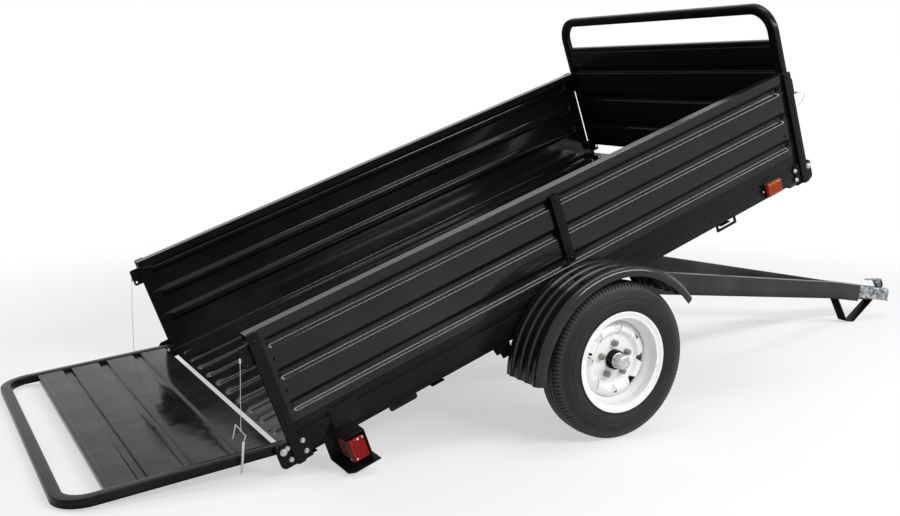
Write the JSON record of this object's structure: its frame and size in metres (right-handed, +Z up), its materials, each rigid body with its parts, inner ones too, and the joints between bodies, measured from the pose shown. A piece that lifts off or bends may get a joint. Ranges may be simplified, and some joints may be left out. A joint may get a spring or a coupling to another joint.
{
  "type": "utility trailer",
  "caption": "Single-axle utility trailer with a tilting ribbed steel bed, drop gates at both ends, fenders and an A-frame drawbar, parked with its tail down as a ramp.",
  "frame": {"origin": "on the ground, midway along the whole length and width", "axes": "+X forwards to the coupler, +Y to the left side, +Z up"},
  "size_m": [4.3122, 1.81, 1.5116],
  "materials": {
    "black_paint": "gloss powder coat",
    "white_paint": "gloss enamel",
    "zinc": "zinc plated",
    "galvanised": "galvanised",
    "wire": "stranded steel wire",
    "tyre": "worn rubber",
    "red_lens": "moulded lens",
    "amber_lens": "moulded lens"
  },
  "bodies": {
    "drawbar": {"coupler": "zinc", "coupler_lever": "zinc", "drawbar_eye_left": "black_paint", "drawbar_eye_right": "black_paint", "drawbar_leg_left": "black_paint", "drawbar_leg_right": "black_paint", "tongue_foot": "black_paint"},
    "bed": {"axle_beam": "black_paint", "cross_members": "black_paint", "fender_left": "black_paint", "fender_right": "black_paint", "floor_sheet": "black_paint", "hinge_brackets_left": "black_paint", "hinge_brackets_right": "black_paint", "lanyard_front_left": "wire", "lanyard_front_right": "wire", "lanyard_rear_left": "wire", "lanyard_rear_right": "wire", "latch_pin_front_left": "zinc", "latch_pin_front_right": "zinc", "latch_pin_rear_left": "zinc", "latch_pin_rear_right": "zinc", "latch_plates_left": "black_paint", "latch_plates_right": "black_paint", "leaf_spring_left": "black_paint", "leaf_spring_right": "black_paint", "pivot_hanger_left": "black_paint", "pivot_hanger_right": "black_paint", "posts_left": "black_paint", "posts_right": "black_paint", "side_marker_base_left": "black_paint", "side_marker_base_right": "black_paint", "side_marker_left": "amber_lens", "side_marker_right": "amber_lens", "side_rail_left": "black_paint", "side_rail_right": "black_paint", "side_wall_left": "black_paint", "side_wall_right": "black_paint", "spring_hangers_left": "black_paint", "spring_hangers_right": "black_paint", "tail_light_bracket_left": "black_paint", "tail_light_bracket_right": "black_paint", "tail_light_left": "red_lens", "tail_light_right": "red_lens", "tie_loops_left": "black_paint", "tie_loops_right": "black_paint", "top_rail_left": "black_paint", "top_rail_right": "black_paint"},
    "wheel_left": {"hub_left": "galvanised", "rim_left": "white_paint", "tyre_left": "tyre"},
    "wheel_right": {"hub_right": "galvanised", "rim_right": "white_paint", "tyre_right": "tyre"},
    "rear_gate": {"rear_gate_frame": "black_paint", "rear_gate_panel": "black_paint"},
    "front_gate": {"front_gate_frame": "black_paint", "front_gate_panel": "black_paint"}
  },
  "joints": [
    {"name": "bed_tilt", "type": "hinge", "parent": "drawbar", "child": "bed", "pos_m": [-0.07094, 0, 0.47697], "axis": [0, 1, 0], "range_deg": [0, 29.77]},
    {"name": "wheel_left_spin", "type": "hinge", "parent": "bed", "child": "wheel_left", "pos_m": [-0.37095, 0.837, 0.273], "axis": [0, 1, 0], "continuous": true},
    {"name": "wheel_right_spin", "type": "hinge", "parent": "bed", "child": "wheel_right", "pos_m": [-0.37095, -0.837, 0.273], "axis": [0, 1, 0], "continuous": true},
    {"name": "rear_gate_hinge", "type": "hinge", "parent": "bed", "child": "rear_gate", "pos_m": [-1.50536, 0, 0.08584], "axis": [0, 1, 0], "range_deg": [-63.2, 75.84]},
    {"name": "front_gate_hinge", "type": "hinge", "parent": "bed", "child": "front_gate", "pos_m": [0.66866, 0, 0.89435], "axis": [0, 1, 0], "range_deg": [0, 90]}
  ]
}
